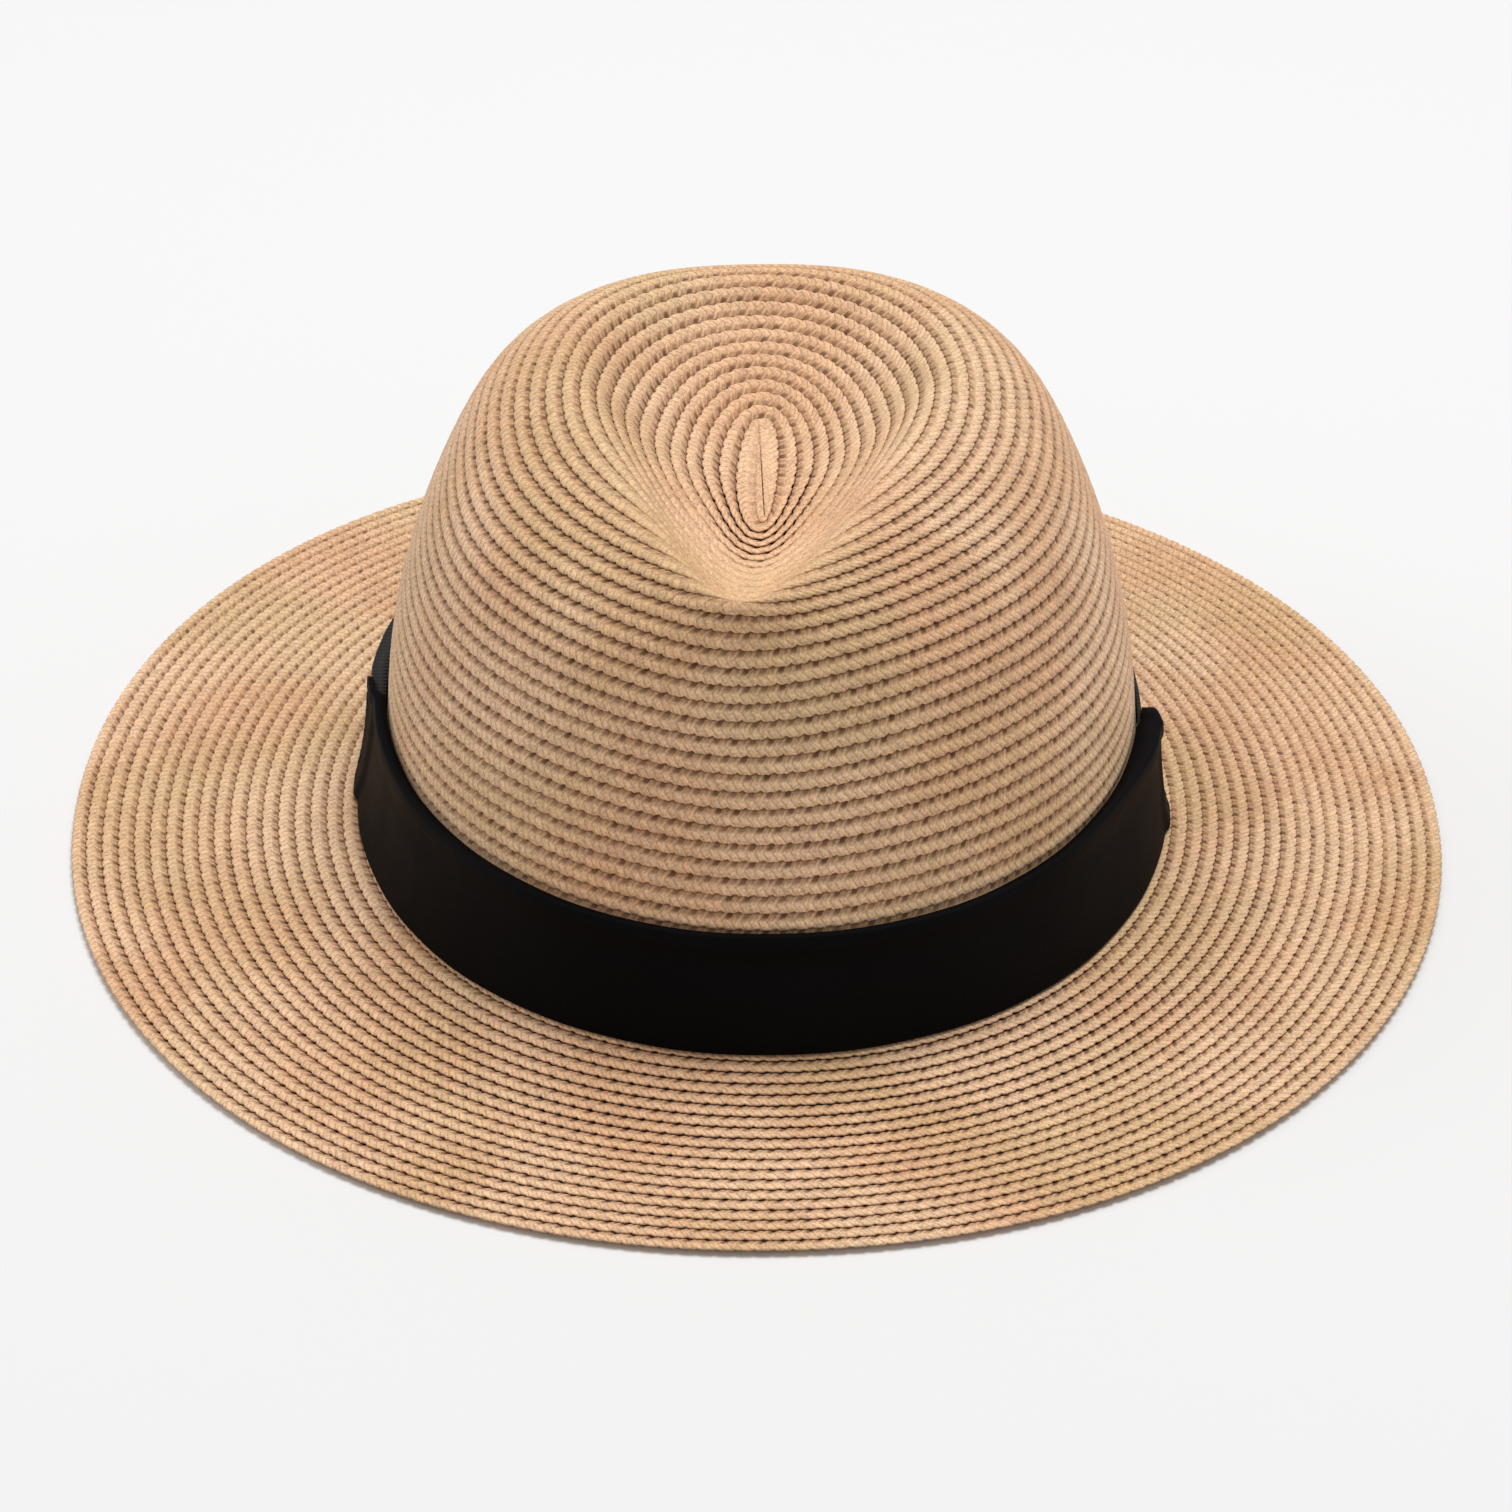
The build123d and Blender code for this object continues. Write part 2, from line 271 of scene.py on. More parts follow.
HEAD_ROW = (CROWN_ROWS + 1) * PER_ROW
table = soften(table, HEAD_ROW, reach=PER_ROW // 2, passes=12)
pressed = table[..., 3:]
table = table[..., :3]
across = np.gradient(table, axis=0)
around = np.gradient(np.concatenate([table[:, -2:-1], table, table[:, 1:2]], 1), axis=1)[:, 1:-1]
outward = np.cross(across, around)
outward /= np.linalg.norm(outward, axis=-1, keepdims=True) + 1e-12
print("table", table.shape, "outward at brim", np.round(outward[-20, 100], 2))


def on_block(row, turn):
    """Point, outward direction and how flat the rows are pressed, at a row and a turn."""
    i = np.clip((row + 1) * PER_ROW, 0, table.shape[0] - 1.001)
    j = (turn % 1.0) * ANGLE_STEPS
    i0, j0 = np.floor(i).astype(int), np.floor(j).astype(int)
    fi, fj = (i - i0)[..., None], (j - j0)[..., None]
    found = []
    for grid in (table, outward, pressed):
        low = grid[i0, j0] * (1 - fj) + grid[i0, j0 + 1] * fj
        high = grid[i0 + 1, j0] * (1 - fj) + grid[i0 + 1, j0 + 1] * fj
        found.append(low * (1 - fi) + high * fi)
    return found


# %% [markdown]
# ## Laying the plait
# Each turn is tucked under the one inside it and sewn along the overlap, so every row shows a
# scalloped lower edge with a dark line under it. The strip is a closed tube with a flat section,
# thin at both edges. Every point of the section is placed on the block on its own, so the strip
# bends over the crest as straw does. A texture could fake the rows, but the outline, the
# underside and the shadows would all be wrong.

# %% Describe the strip
SCALLOP = 3.5 * MM  # one repeat of the braiding along the strip
PER_SCALLOP = 6
# Place across the row (0 is its inner edge, 1 its outer edge) and height over the block, in
# millimetres, first along the top of the strip and then back along its underside
SECTION = (
    (-0.24, -1.35),
    (0.05, -0.47),
    (0.20, -0.31),
    (0.40, -0.16),
    (0.62, -0.03),
    (0.84, 0.02),
    (1.00, -0.13),
    (1.06, -0.38),
    (0.98, -0.56),
    (0.66, -0.90),
    (0.28, -1.30),
    (-0.16, -1.62),
)
EDGE_CORNER = 7  # the section's outermost corner
PRESSING = 0.75  # part of its relief that a row loses where it is pressed
EDGE_DROP = 0.1 * MM  # and how far its edge is pushed down there
HOLE_DEPTH = 0.34 * MM  # where a strand dives under the row above
STRAND_RELIEF = 0.07 * MM
EDGE_NOTCH = 0.17  # of a row, how far its outer edge draws in between strands
TAPER = 0.05  # part of the last turn over which the plait's end runs out
SETTLING_ROWS = 10  # rows by the edge over which the spiral closes into an oval
FIRST_TURN = -2  # two turns lie inside the first row: the folded start


def row_edges(turn):
    """Inner and outer edge of the plait, in rows.

    The brim's outline stays an oval although this is a spiral.
    """
    part = turn % 1.0
    drift = np.where(part < 1 - TAPER, part / (1 - TAPER), (1 - part) / TAPER)
    drift = drift * drift * (3 - 2 * drift)
    row = turn - drift * np.clip((turn - ROWS) / SETTLING_ROWS + 1, 0, 1)
    inner = np.maximum(row, -1)
    return inner, np.maximum(np.minimum(row + 1, ROWS), inner + 0.02)


def pulse(phase, width):
    """A soft bump once in every repeat."""
    away = np.abs((phase + 0.5) % 1.0 - 0.5)
    return np.exp(-((away / width) ** 2))


spiral = np.linspace(FIRST_TURN, ROWS - 0.001, (ROWS + 2) * 720)
centres, _, _ = on_block(sum(row_edges(spiral)) / 2, spiral)
laid = np.concatenate([[0], np.cumsum(np.linalg.norm(np.diff(centres, axis=0), axis=-1))])
print("plait length", round(laid[-1], 2), "m")


# %% Lay one stretch of plait
def tube(name, rings, sides):
    """A closed tube, rings long and sides round, from a grid whose long edges are sewn together."""
    bm = bmesh.new()
    bmesh.ops.create_grid(bm, x_segments=rings, y_segments=sides, size=0.5)
    seam = [[v for v in bm.verts if abs(v.co.y - y) < 1e-4] for y in (-0.5, 0.5)]
    for edge in seam:
        edge.sort(key=lambda v: v.co.x)
    bmesh.ops.weld_verts(bm, targetmap=dict(zip(seam[1], seam[0])))
    bmesh.ops.holes_fill(bm, edges=[e for e in bm.edges if e.is_boundary], sides=0)
    mesh = bpy.data.meshes.new(name)
    bm.to_mesh(mesh)
    bm.free()
    flat = np.empty(len(mesh.vertices) * 3, np.float32)
    mesh.vertices.foreach_get("co", flat)
    flat = flat.reshape(-1, 3)
    ring = np.rint((flat[:, 0] + 0.5) * rings).astype(int)
    side = np.rint((flat[:, 1] + 0.5) * sides).astype(int)
    return mesh, ring, side


def finish_mesh(mesh, points):
    """Puts every vertex at its place and turns the faces outwards."""
    mesh.vertices.foreach_set("co", points.astype(np.float32).ravel())
    bm = bmesh.new()
    bm.from_mesh(mesh)
    bmesh.ops.recalc_face_normals(bm, faces=bm.faces)
    bm.to_mesh(mesh)
    bm.free()
    # The end caps have more corners than the quads and stay flat, so they don't bend the shading.
    mesh.polygons.foreach_set("use_smooth", [len(face.vertices) == 4 for face in mesh.polygons])
    mesh.update()


def give_pattern(mesh, name, *values):
    """Stores where each vertex lies on its cloth or plait, for the weave in its material."""
    pattern = mesh.attributes.new(name, "FLOAT_VECTOR", "POINT")
    pattern.data.foreach_set("vector", np.stack(values, -1).astype(np.float32).ravel())


def to_scene(name, mesh, body, nodes, material):
    """Makes the mesh a piece that rides on a body and stands for its CAD nodes."""
    piece = bpy.data.objects.new(name, mesh)
    bpy.context.scene.collection.objects.link(piece)
    mesh.materials.append(material)
    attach(piece, body)
    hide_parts(*nodes)
    triangles = sum(len(p.vertices) - 2 for p in mesh.polygons)
    print(f"{name}: {triangles} triangles")
    return piece


def lay_plait(name, start, end, nodes, material):
    """The stretch of plait between two lengths from its first end."""
    rings = int((end - start) / SCALLOP * PER_SCALLOP)
    mesh, ring, side = tube(name, rings, len(SECTION))
    run = np.linspace(start, end, rings + 1)
    turn = np.interp(run, laid, spiral)
    across_row, height = np.array(SECTION).T
    a, h = across_row[side], height[side] * MM
    phase = run[ring] / SCALLOP
    inner, outer = row_edges(turn)
    top, edge = (side > 0) & (side < EDGE_CORNER), side == EDGE_CORNER
    _, _, flat = on_block(inner[ring] + np.clip(a, 0, 1), turn[ring])
    flat = flat[:, 0]
    # The first turn has nothing over its inner edge, so that edge isn't tucked down.
    first = np.clip(1 - (turn[ring] + 1) / 0.8, 0, 1)
    flat = np.maximum(flat, first * (a < 0.5))
    h = np.where(side < 2, h * (1 - 0.95 * first), h)
    h = np.where(top, h * (1 - PRESSING * flat), h)
    h = np.where(edge, h - EDGE_DROP * flat, h)
    # A large hole and a small one take turns along the row, on a slant.
    hole = pulse(phase + 0.5 * a, 0.16) + 0.4 * pulse(phase + 0.5 + 0.5 * a, 0.12)
    notch = hole * (1 - 0.8 * flat)
    h = h - HOLE_DEPTH * notch * (np.abs(a - 0.2) < 0.25) * top
    crest = np.sin(np.clip(a, 0, 1) * math.pi) * top
    h = h + STRAND_RELIEF * np.cos(4 * math.pi * (phase + 0.3 * np.abs(a - 0.5))) * crest
    a = a - EDGE_NOTCH * notch * np.clip((a - 0.7) / 0.3, 0, 1)
    point, normal, _ = on_block(inner[ring] + a * (outer - inner)[ring], turn[ring])
    finish_mesh(mesh, point + normal * h[:, None])
    give_pattern(mesh, "plait", phase - np.floor(phase.min()), a, flat)
    return to_scene(name, mesh, "hat", nodes, material)


def lay_turns(name, first, last, parts, nodes, material):
    """Turns of the spiral in a few pieces of equal length, so that none is too heavy."""
    ends = np.linspace(*np.interp([first, last], spiral, laid), parts + 1)
    for part in range(parts):
        label = f"{name}_{part + 1}" if parts > 1 else name
        lay_plait(label, ends[part], ends[part + 1], nodes, material)


# %% [markdown]
# ## A short way to write shaders
# Blender's shader maths is made of nodes, one for each plus or times. Writing them out hides the
# idea, so one small class lets Python's own operators add the nodes, and one method makes every
# other node.

# %% Shader tools
class Value:
    """A node's output that plus, minus and times work on."""

    def __init__(self, finish, socket):
        self.finish, self.socket = finish, socket

    def __add__(self, other):
        return self.finish.maths("ADD", self, other)

    def __sub__(self, other):
        return self.finish.maths("SUBTRACT", self, other)

    def __rsub__(self, other):
        return self.finish.maths("SUBTRACT", other, self)

    def __mul__(self, other):
        return self.finish.maths("MULTIPLY", self, other)

    __radd__ = __add__


class Finish:
    """A material and the few moves that the recipes need."""

    def __init__(self, name, **constants):
        self.material = bpy.data.materials.new(name)
        self.material.use_nodes = True
        self.tree = self.material.node_tree
        self.shader = self.tree.nodes["Principled BSDF"]
        for socket, value in constants.items():
            self.shader.inputs[socket.replace("_", " ")].default_value = value

    def node(self, kind, settings=None, inputs=None, output=0):
        made = self.tree.nodes.new("ShaderNode" + kind)
        for key, value in (settings or {}).items():
            setattr(made, key, value)
        for key, value in (inputs or {}).items():
            self.plug(made.inputs[key], value)
        return Value(self, made.outputs[output])

    def plug(self, socket, value):
        if isinstance(value, Value):
            self.tree.links.new(value.socket, socket)
        else:
            socket.default_value = value

    def set(self, socket, value):
        self.plug(self.shader.inputs[socket], value)

    def maths(self, operation, *values):
        return self.node("Math", {"operation": operation}, dict(enumerate(values)))

    def smooth(self, value, low, high):
        """0 below low, 1 above high and a soft step between."""
        settings = {"interpolation_type": "SMOOTHSTEP"}
        return self.node("MapRange", settings, {"Value": value, "From Min": low, "From Max": high})

    def mix(self, share, first, second, blend="MIX"):
        settings = {"data_type": "RGBA", "blend_type": blend}
        return self.node("Mix", settings, {0: share, 6: first, 7: second}, output=2)

    def noise(self, scale, detail=2, vector=None):
        vector = vector or self.node("TexCoord", output="Object")
        return self.node("TexNoise", None, {"Vector": vector, "Scale": scale, "Detail": detail})

    def pattern(self, name):
        """The three numbers that give_pattern stored."""
        stored = self.node("Attribute", {"attribute_name": name}, output="Vector")
        return [self.node("SeparateXYZ", None, {"Vector": stored}, output=axis) for axis in "XYZ"]

    def bump(self, height, strength, distance):
        inputs = {"Height": height, "Strength": strength, "Distance": distance}
        self.set("Normal", self.node("Bump", None, inputs))


def colour(red, green, blue):
    """A colour from its usual 0 to 255 numbers."""
    shares = [channel / 255 for channel in (red, green, blue)]
    linear = [s / 12.92 if s < 0.04045 else ((s + 0.055) / 1.055) ** 2.4 for s in shares]
    return (*linear, 1.0)


# %% [markdown]
# ### Straw
# Paper straw is never one colour: whole stretches turn greenish or pink, each strand differs from
# the next, and the cut between two strands is dark. The strands run slantwise to the middle of
# the plait and back, like a row of arrowheads, so the pattern is made from the place along and
# across the plait.

# %% Straw finish
def straw_finish():
    straw = Finish("straw", Sheen_Weight=0.1, Sheen_Roughness=0.5, Specular_IOR_Level=0.3)
    along, over, flat = straw.pattern("plait")
    lines_left = 1 - flat * 0.9
    slant = straw.maths("ABSOLUTE", over - 0.5)
    strand = along * 2 - slant * 1.3
    side = straw.maths("GREATER_THAN", over, 0.5)
    from_gap = straw.maths("PINGPONG", strand, 0.5)
    gap = 1 - straw.smooth(from_gap, 0.02, 0.17)

    # Where a strand dives under the row above is a slanting hole, every second one larger, painted
    # dark as shade.
    slanted = along + over * 0.5
    large = 1 - straw.smooth(straw.maths("PINGPONG", slanted, 0.5), 0.10, 0.25)
    small = 1 - straw.smooth(straw.maths("PINGPONG", slanted + 0.5, 0.5), 0.04, 0.15)
    one_by_one = {"noise_dimensions": "1D"}
    chance = straw.node("TexWhiteNoise", one_by_one, {"W": straw.maths("ROUND", slanted * 2)})
    # The upper part of each row lies under the edge of the row above; it is darkened there as
    # painted shade.
    shaded_upper = straw.smooth(over, -0.05, 0.05) * (1 - straw.smooth(over, 0.2, 0.5))
    hole = straw.maths("MAXIMUM", large, small * 0.55) * shaded_upper * (0.55 + chance * 0.45)

    number = straw.maths("FLOOR", strand) + side * 37.0
    tone = straw.node("TexWhiteNoise", one_by_one, {"W": number})
    fibre_place = straw.node("CombineXYZ", None, {"X": strand * 5, "Y": over * 1.4, "Z": number})
    fibre = straw.noise(1.0, 3, fibre_place)
    speck = straw.noise(1900.0, 2)

    patches = straw.smooth(straw.noise(24.0, 2), 0.36, 0.64)
    greenish = straw.smooth(straw.noise(19.0, 1), 0.42, 0.66)
    base = straw.mix(patches, colour(243, 193, 149), colour(255, 213, 172))
    base = straw.mix(greenish * 0.45, base, colour(226, 192, 136))
    shade = 1.16 - (tone * 0.14 + fibre * 0.2 + straw.smooth(speck, 0.3, 0.72) * 0.34)
    grey = straw.node("CombineColor", None, {0: shade, 1: shade, 2: shade})
    base = straw.mix(1.0, base, grey, "MULTIPLY")
    # Painted shade: dark lines along both edges of each row, where the rows lap over one another.
    edge = straw.smooth(over, 0.93, 1.06) * 0.5
    tuck_shade = (1 - straw.smooth(over, 0.02, 0.14)) * 0.55
    # Painted shade: the upper part of each row is mixed towards brown.
    base = straw.mix(shaded_upper * lines_left * 0.35, base, colour(172, 116, 68))
    # The cuts between strands are dark in themselves; the lines at the row edges are painted shade.
    lines_and_shade = straw.maths("MAXIMUM", gap * 0.32, straw.maths("MAXIMUM", edge, tuck_shade)) * lines_left
    base = straw.mix(lines_and_shade, base, colour(126, 78, 40))
    # Painted shade: the holes are coloured dark brown.
    base = straw.mix(hole * lines_left * 0.9, base, colour(98, 54, 20))
    straw.set("Base Color", base)
    straw.set("Roughness", 0.52 + fibre * 0.2)
    straw.bump(straw.maths("SQRT", from_gap) + fibre * 0.25 + speck * 0.5 - hole, 0.8, 0.3 * MM)
    return straw.material


straw_material = straw_finish()
lay_turns("plait_button", FIRST_TURN, 0, 1, ["crown_tip_button"], straw_material)
lay_turns("plait_tip", 0, TIP_ROWS, 2, ["crown_tip"], straw_material)
lay_turns("plait_side", TIP_ROWS, CROWN_ROWS, 3, ["crown_side"], straw_material)
lay_turns("plait_brim", CROWN_ROWS, ROWS, 3, ["brim"], straw_material)


# %% [markdown]
# ## The black band
# The band is a satin ribbon round the front with a hem along its top, its two ends lapped over a
# ribbed elastic that pulls it snug behind. Ribbons this flat are modelled directly: each is a
# closed strip with the section of the real one, carried round the wall of the crown. At the sides
# the real cloth doesn't follow the wall's flare but hangs straighter, so there its outer face
# stands off the straw.

# %% Wrap a strip round the crown
def angle_at(y):
    """Angle on the wearer's left at which the head line has this y."""
    tried = np.linspace(-1.4, 1.4, 2000)
    return float(np.interp(y, on_wall(tried, np.full_like(tried, HEAD_LINE_Z), 0)[:, 1], tried))


BAND_GAP = 0.4  # thicknesses here are in millimetres, as in the sections
RIBBON = 0.9
THIN_END = 3 * MM  # the folded end of a ribbon rounds off over this length
END_LOSS = 0.85  # and loses this part of its thickness
OUTER_FACE = -0.7 * MM  # what lies further out than this is a band's outer face


def ease(value, low, high):
    """0 up to low, 1 from high on, and a soft step between."""
    share = np.clip((value - low) / (high - low), 0, 1)
    return share * share * (3 - 2 * share)


def wrap(name, section, start, end, spacing, push=None, round_ends=0.0):
    """A strip on the wall. Its section lists depths into the wall and heights, in millimetres."""
    depth, level = np.array(section).T * MM
    tried = np.linspace(start, end, 4000)  # steps fine enough to measure along
    line = on_wall(tried, np.full_like(tried, level.mean()), 0)
    arc = np.concatenate([[0], np.cumsum(np.linalg.norm(np.diff(line, axis=0), axis=-1))])
    rings = int(arc[-1] / spacing)
    mesh, ring, side = tube(name, rings, len(section))
    run = np.linspace(0, arc[-1], rings + 1)
    angle = np.interp(run, arc, tried)[ring]
    depth, level = depth[side], level[side]
    outer = depth < OUTER_FACE
    if round_ends:
        from_end = np.minimum(run, arc[-1] - run)[ring]
        hem = np.minimum(depth + (BAND_GAP + RIBBON) * MM, 0)
        depth = depth - hem * (1 - ease(from_end, 0, round_ends))
        thinning = 1 - np.sqrt(1 - np.clip(1 - from_end / THIN_END, 0, 1) ** 2)
        depth = depth + outer * END_LOSS * RIBBON * MM * thinning
        rounding = 1 - np.sqrt(1 - np.clip(1 - from_end / round_ends, 0, 1) ** 2)
        level = level - rounding * round_ends * ease(level, level.mean(), level.max())
    if push:
        depth = depth - push(angle, run[ring], level, outer)
    finish_mesh(mesh, on_wall(angle, level, depth))
    give_pattern(mesh, "cloth", run[ring] / MM, level / MM, depth / MM)
    print(f"{name}: {arc[-1]:.4f} m long")
    return mesh, float(arc[-1])


# %% [markdown]
# Satin shows hardly any weave, only a soft streak where the light runs along it. Elastic is
# ribbed up and down by the rubber cores, and matt. Both are nearly black.

# %% Ribbon and elastic finishes
def ribbon_finish():
    satin = Finish("black satin", Specular_IOR_Level=0.03)
    along, up, _ = satin.pattern("cloth")
    weft = satin.maths("SINE", up * 14.0)
    warp = satin.maths("SINE", along * 18.0)
    crease = satin.noise(60.0, 3)
    tint = satin.smooth(satin.noise(22.0, 2), 0.35, 0.7)
    base = satin.mix(tint, colour(10, 10, 11), colour(14, 13, 15))
    base = satin.mix(satin.smooth(weft, 0.2, 1.0) * 0.3, base, colour(20, 19, 22))
    satin.set("Base Color", base)
    satin.set("Roughness", 0.46 + crease * 0.2)
    satin.bump(weft * 0.5 + warp * 0.3 + crease * 1.5, 0.35, 0.12 * MM)
    return satin.material


def elastic_finish():
    shine = {"Sheen_Weight": 0.05, "Sheen_Roughness": 0.5, "Specular_IOR_Level": 0.3}
    elastic = Finish("black elastic", **shine)
    along, up, _ = elastic.pattern("cloth")
    rib = elastic.maths("SINE", along * 4.2)
    knit = elastic.maths("SINE", up * 9.0)
    lint = elastic.smooth(elastic.noise(900.0, 2), 0.62, 0.8)
    base = elastic.mix(elastic.smooth(rib, -0.4, 0.9), colour(9, 11, 10), colour(24, 27, 25))
    base = elastic.mix(lint * 0.3, base, colour(90, 90, 88))
    elastic.set("Base Color", base)
    elastic.set("Roughness", 0.62 + lint * 0.2)
    elastic.bump(rib + knit * 0.4, 0.6, 0.2 * MM)
    return elastic.material


def thread_finish(name, tint):
    thread = Finish(name, Sheen_Weight=0.3)
    along, _, _ = thread.pattern("cloth")
    ply = thread.maths("SINE", along * 16.0)
    thread.set("Base Color", thread.mix(thread.smooth(ply, -0.6, 0.8), tint[0], tint[1]))
    thread.set("Roughness", 0.45 + thread.noise(700.0, 2) * 0.2)
    thread.bump(ply, 0.5, 0.08 * MM)
    return thread.material


ribbon_low, ribbon_high = (Vector(corner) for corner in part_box("band_front_ribbon"))
elastic_low, elastic_high = (Vector(corner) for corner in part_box("band_back_elastic"))
ELASTIC = 0.8
LAP_AIR = 0.15  # between the elastic and the ribbon over it
THREAD_PROUD = 0.14  # how far the middle of a stitch stands off the cloth
HEM = 0.5
HEM_HEIGHT = 3.4
low, high = ribbon_low.z / MM, ribbon_high.z / MM
RIBBON_SECTION = (
    (-BAND_GAP - RIBBON + 0.1, low),
    (-BAND_GAP - RIBBON, low + 0.5),
    (-BAND_GAP - RIBBON + 0.06, low + 5),
    (-BAND_GAP - RIBBON - 0.04, low + 12),
    (-BAND_GAP - RIBBON + 0.04, low + 18),
    (-BAND_GAP - RIBBON + 0.02, high - HEM_HEIGHT - 0.25),
    (-BAND_GAP - RIBBON - HEM * 0.7, high - HEM_HEIGHT + 0.1),
    (-BAND_GAP - RIBBON - HEM, high - HEM_HEIGHT + 0.6),
    (-BAND_GAP - RIBBON - HEM, high - 0.7),
    (-BAND_GAP - RIBBON - HEM * 0.6, high - 0.15),
    (-BAND_GAP - RIBBON + 0.1, high),
    (-BAND_GAP - 0.1, high - 0.2),
    (-BAND_GAP, high - 1.0),
    (-BAND_GAP, (low + high) / 2),
    (-BAND_GAP, low + 0.6),
    (-BAND_GAP - 0.15, low + 0.05),
)
LAP = 11 * MM
LAP_END_RIGHT = 10 * MM  # the ribbon's ends, measured back from the middle of the crown
LAP_END_LEFT = -9 * MM
LAP_LIFT = 0.95  # millimetres that the elastic raises the ribbon's ends
SLACK = 0.2  # part of the wall's flare that the band hangs free of at the sides


def stand_off(angle, level, share):
    """How far the band's outer face hangs off a wall that flares below it, at the sides only."""
    flare = SIDE_FLARE * (1 - np.exp(-(level - HEAD_LINE_Z) / FLARE_HEIGHT))
    return flare * share * np.abs(np.cos(angle))


def loose_left(y):
    """The ribbon's end on the wearer's left was sewn slack, and curves back to the elastic."""
    out = ease(y, LAP_END_LEFT - 46 * MM, LAP_END_LEFT - 18 * MM)
    return 0.42 * out * (1 - ease(y, LAP_END_LEFT - 15 * MM, LAP_END_LEFT))


def loose_right(y):
    """On the wearer's right it is the elastic that bows off the straw, behind the ribbon's end."""
    out = ease(y, LAP_END_RIGHT - LAP, LAP_END_RIGHT + 5 * MM)
    return 0.32 * out * (1 - ease(y, 50 * MM, 88 * MM))


def lap_over(angle, run, level, outer):
    """Lifts the ribbon's two ends over the elastic, and lets the cloth wander a little."""
    y = HEAD_HALF_LENGTH * np.sin(angle)
    right = np.cos(angle) < 0
    start = np.where(right, LAP_END_RIGHT, LAP_END_LEFT) - LAP
    lapped = ease(y, start - 3.0 * MM, start + 1.0 * MM)
    wander = 0.07 * np.sin(run * 95 + level * 60) + 0.05 * np.sin(run * 231 + 1.3)
    face = SLACK + np.where(right, loose_right(y), loose_left(y))
    back = np.where(right, SLACK + loose_right(y), 0) * lapped
    return (LAP_LIFT * lapped + wander) * MM + stand_off(angle, level, np.where(outer, face, back))


satin_material = ribbon_finish()
start, end = math.pi - angle_at(LAP_END_RIGHT), 2 * math.pi + angle_at(LAP_END_LEFT)
mesh, ribbon_length = wrap(
    "front_ribbon", RIBBON_SECTION, start, end, spacing=1.0 * MM, push=lap_over, round_ends=7 * MM
)
ribbon = to_scene(
    "front_ribbon", mesh, "band", ["band_front_ribbon"], satin_material
)


# %% [markdown]
# The elastic lies flat on the straw behind. It is pulled tight, so all it shows is its ribs, one
# for each rubber core. Each rib is modelled, because a bump alone would leave the edges straight.

# %% Elastic and the tacks
low, high = elastic_low.z / MM, elastic_high.z / MM
ELASTIC_SECTION = (
    (-BAND_GAP - ELASTIC + 0.15, low),
    (-BAND_GAP - ELASTIC, low + 0.8),
    (-BAND_GAP - ELASTIC, low + 8),
    (-BAND_GAP - ELASTIC, high - 8),
    (-BAND_GAP - ELASTIC, high - 0.8),
    (-BAND_GAP - ELASTIC + 0.15, high),
    (-BAND_GAP - 0.1, high),
    (-BAND_GAP, high - 0.8),
    (-BAND_GAP, (low + high) / 2),
    (-BAND_GAP, low + 0.8),
    (-BAND_GAP - 0.1, low),
)
RIB = 1.5 * MM


def ribs(angle, run, level, outer):
    """The elastic's ribs on both faces, and its bow on the outer one."""
    share = np.where(np.cos(angle) < 0, SLACK + loose_right(HEAD_HALF_LENGTH * np.sin(angle)), 0)
    return 0.09 * MM * np.sin(run / RIB * 2 * math.pi) + stand_off(angle, level, share * outer)


TUCK = 1.05 * MM  # the elastic starts this far behind the step in the ribbon
start = angle_at(LAP_END_LEFT - LAP + TUCK)
end = math.pi - angle_at(LAP_END_RIGHT - LAP + TUCK)
mesh, elastic_length = wrap(
    "back_elastic", ELASTIC_SECTION, start, end, spacing=0.25 * MM, push=ribs
)
elastic = to_scene(
    "back_elastic", mesh, "band", ["band_back_elastic"], elastic_finish()
)


THREAD_SIDES = 6


def thread_line(name, points, radius, pattern):
    """A round thread along a list of points, with a small ring of vertices round each."""
    mesh, ring, side = tube(name, len(points) - 1, THREAD_SIDES)
    ahead = np.gradient(points, axis=0)
    ahead /= np.linalg.norm(ahead, axis=-1, keepdims=True) + 1e-12
    out = points * np.array([1.0, 1.0, 0.0])
    out /= np.linalg.norm(out, axis=-1, keepdims=True)
    up = np.cross(ahead, out)
    up /= np.linalg.norm(up, axis=-1, keepdims=True) + 1e-12
    out = np.cross(up, ahead)
    turned = side / THREAD_SIDES * 2 * math.pi
    ring_offset = out[ring] * np.cos(turned)[:, None] + up[ring] * np.sin(turned)[:, None]
    finish_mesh(mesh, points[ring] + ring_offset * radius)
    give_pattern(mesh, "cloth", pattern[ring], side.astype(float), turned)
    return mesh


TACK_STITCHES = 7  # zigzags up each tack, and how far they sway
TACK_SWAY = 0.28 * MM
black_thread = thread_finish("black thread", (colour(14, 14, 15), colour(44, 44, 48)))
for hand in ("right", "left"):
    tack_low, tack_high = (Vector(corner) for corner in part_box(f"band_tack_{hand}"))
    steps = np.linspace(0, 1, 90)
    level = tack_low.z + (tack_high.z - tack_low.z) * steps
    y = (tack_low.y + tack_high.y) / 2 + TACK_SWAY * np.sin(steps * 2 * math.pi * TACK_STITCHES)
    angle = np.arcsin(y / HEAD_HALF_LENGTH)
    if hand == "right":
        angle = math.pi - angle
    slack = SLACK + (loose_left(y) if hand == "left" else loose_right(y))
    cloth = BAND_GAP + ELASTIC + LAP_AIR + RIBBON + THREAD_PROUD
    depth = -cloth * MM - stand_off(angle, level, slack)
    mesh = thread_line(f"tack_{hand}", on_wall(angle, level, depth), 0.18 * MM, steps * 20)
    to_scene(f"tack_{hand}", mesh, "band", [f"band_tack_{hand}"], black_thread)


# %% [markdown]
# ## Inside the crown
# A sweatband of twill is sewn round the head line and stands up inside the wall. Its two ends
# meet at the back under a short tape, with a size tab and a care tab beside it, both blank here.

